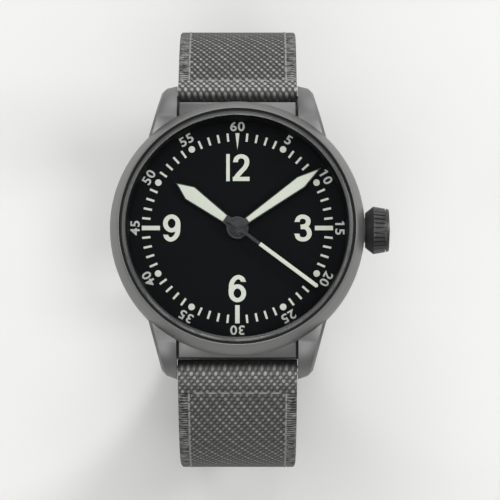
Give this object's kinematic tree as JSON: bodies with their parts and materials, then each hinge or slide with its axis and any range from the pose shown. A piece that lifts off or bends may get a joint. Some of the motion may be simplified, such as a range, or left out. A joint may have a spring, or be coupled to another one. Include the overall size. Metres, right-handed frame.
{
  "type": "pilot watch",
  "caption": "Round steel pilot wristwatch on a two-piece canvas strap, with a working movement, hands, fluted crown, swinging strap pieces, pin buckle and keepers.",
  "frame": {"origin": "centre of the flat outer face of the case back, on the axis of the hands", "axes": "+Z out of the dial, +Y to 12 o'clock, +X to the crown at 3 o'clock"},
  "size_m": [0.0463, 0.0754, 0.0742],
  "materials": {
    "case_steel": "matte dark grey coating, faintly brushed",
    "plain_steel": "fine turned or brushed, uncoated",
    "glass": "polished, with a bevelled edge",
    "black_rubber": "matte",
    "black_lacquer": "matte black, fine grain",
    "dark_hands": "satin dark grey",
    "lume": "matte pale green luminous filling",
    "nickel_brass": "nickel-plated, striped and grained",
    "gilt_brass": "gilt, fine circular grain",
    "holder_plastic": "moulded, dark grey",
    "ruby": "polished synthetic ruby",
    "canvas": "coarse grey woven canvas with light stitching"
  },
  "bodies": {
    "case": {"case_middle": "case_steel", "bezel": "case_steel", "crystal": "glass", "crystal_gasket": "black_rubber", "flange_ring": "black_lacquer", "case_back": "case_steel", "case_back_gasket": "black_rubber", "movement_holder": "holder_plastic", "crown_tube": "plain_steel", "spring_bars": "plain_steel", "dial": "black_lacquer", "mainplate": "nickel_brass", "barrel_bridge": "nickel_brass", "train_bridge": "nickel_brass", "balance_cock": "nickel_brass", "barrel_arbor": "plain_steel", "hairspring": "plain_steel", "rotor_bearing": "plain_steel", "jewels": "ruby", "bridge_screws": "plain_steel"},
    "strap_short": {"strap_short": "canvas", "fixed_keeper": "canvas"},
    "strap_long": {"strap_long": "canvas"},
    "buckle": {"buckle_frame": "case_steel", "buckle_bar": "plain_steel"},
    "tang": {"buckle_tang": "case_steel"},
    "sliding_keeper": {"sliding_keeper": "canvas"},
    "crown_pull": {"crown_gasket": "black_rubber"},
    "crown": {"crown": "case_steel", "winding_stem": "plain_steel"},
    "rotor": {"rotor": "plain_steel"},
    "balance": {"balance_wheel": "plain_steel"},
    "pallet_fork": {"pallet_fork": "plain_steel"},
    "minute": {"minute_hand": "dark_hands", "minute_hand_lume": "lume", "cannon_pinion": "gilt_brass"},
    "minute_wheel": {"minute_wheel": "gilt_brass"},
    "hour": {"hour_hand": "dark_hands", "hour_hand_lume": "lume", "hour_wheel": "gilt_brass"},
    "seconds": {"seconds_hand": "dark_hands", "seconds_hand_lume": "lume", "fourth_wheel": "gilt_brass"},
    "third_wheel": {"third_wheel": "gilt_brass"},
    "centre_wheel": {"centre_wheel": "gilt_brass"},
    "barrel": {"barrel": "gilt_brass"},
    "escape_wheel": {"escape_wheel": "plain_steel"}
  },
  "joints": [
    {"name": "strap_short_swing", "type": "hinge", "parent": "case", "child": "strap_short", "pos_m": [0, 0.023, 0.0022], "axis": [1, 0, 0], "range_deg": [-30, 80]},
    {"name": "strap_long_swing", "type": "hinge", "parent": "case", "child": "strap_long", "pos_m": [0, -0.023, 0.0022], "axis": [-1, 0, 0], "range_deg": [-8, 80]},
    {"name": "buckle_swing", "type": "hinge", "parent": "strap_short", "child": "buckle", "pos_m": [0, 0.00757, -0.0476], "axis": [1, 0, 0], "range_deg": [-20, 10]},
    {"name": "tang_swing", "type": "hinge", "parent": "buckle", "child": "tang", "pos_m": [0, 0.00757, -0.0476], "axis": [1, 0, 0], "range_deg": [0, 80]},
    {"name": "keeper_slide_along_strap", "type": "hinge", "parent": "strap_short", "child": "sliding_keeper", "pos_m": [0, 0.01565, -0.0266], "axis": [1, 0, 0], "range_deg": [-14, 55]},
    {"name": "crown_pull", "type": "slide", "parent": "case", "child": "crown_pull", "axis": [1, 0, 0], "range_m": [0, 0.0015]},
    {"name": "crown_turn", "type": "hinge", "parent": "crown_pull", "child": "crown", "pos_m": [0.023, 0, 0.0046], "axis": [1, 0, 0], "continuous": true},
    {"name": "rotor_turn", "type": "hinge", "parent": "case", "child": "rotor", "pos_m": [0, 0, 0.002], "axis": [0, 0, -1], "continuous": true},
    {"name": "balance_swing", "type": "hinge", "parent": "case", "child": "balance", "pos_m": [0.00755, -0.00472, 0.005], "axis": [0, 0, -1], "range_deg": [-270, 270], "stiffness_Nm_per_rad": 0.0000003},
    {"name": "pallet_fork_rock", "type": "hinge", "parent": "case", "child": "pallet_fork", "pos_m": [0.00403, -0.00482, 0.005], "axis": [0, 0, -1], "range_deg": [-5, 5]},
    {"name": "minute_turn", "type": "hinge", "parent": "case", "child": "minute", "pos_m": [0, 0, 0.009], "axis": [0, 0, -1], "continuous": true},
    {"name": "minute_wheel_turn", "type": "hinge", "parent": "case", "child": "minute_wheel", "pos_m": [0.0029, 0, 0.0072], "axis": [0, 0, -1], "continuous": true},
    {"name": "hour_turn", "type": "hinge", "parent": "case", "child": "hour", "pos_m": [0, 0, 0.009], "axis": [0, 0, -1], "continuous": true},
    {"name": "seconds_turn", "type": "hinge", "parent": "case", "child": "seconds", "pos_m": [0, 0, 0.009], "axis": [0, 0, -1], "continuous": true},
    {"name": "third_wheel_turn", "type": "hinge", "parent": "case", "child": "third_wheel", "pos_m": [-0.00489, -0.00178, 0.005], "axis": [0, 0, -1], "continuous": true},
    {"name": "centre_wheel_turn", "type": "hinge", "parent": "case", "child": "centre_wheel", "pos_m": [0, 0, 0.006], "axis": [0, 0, -1], "continuous": true},
    {"name": "barrel_turn", "type": "hinge", "parent": "case", "child": "barrel", "pos_m": [0.00166, 0.00618, 0.005], "axis": [0, 0, -1], "continuous": true},
    {"name": "escape_wheel_turn", "type": "hinge", "parent": "case", "child": "escape_wheel", "pos_m": [0.00178, -0.00489, 0.005], "axis": [0, 0, -1], "continuous": true}
  ],
  "couplings": [
    {"joint": "minute_wheel_turn", "follows": "minute_turn", "ratio": -0.33333},
    {"joint": "hour_turn", "follows": "minute_turn", "ratio": 0.083333},
    {"joint": "third_wheel_turn", "follows": "seconds_turn", "ratio": -0.13333},
    {"joint": "centre_wheel_turn", "follows": "seconds_turn", "ratio": 0.016667},
    {"joint": "barrel_turn", "follows": "seconds_turn", "ratio": -0.0027778},
    {"joint": "escape_wheel_turn", "follows": "seconds_turn", "ratio": -10}
  ]
}
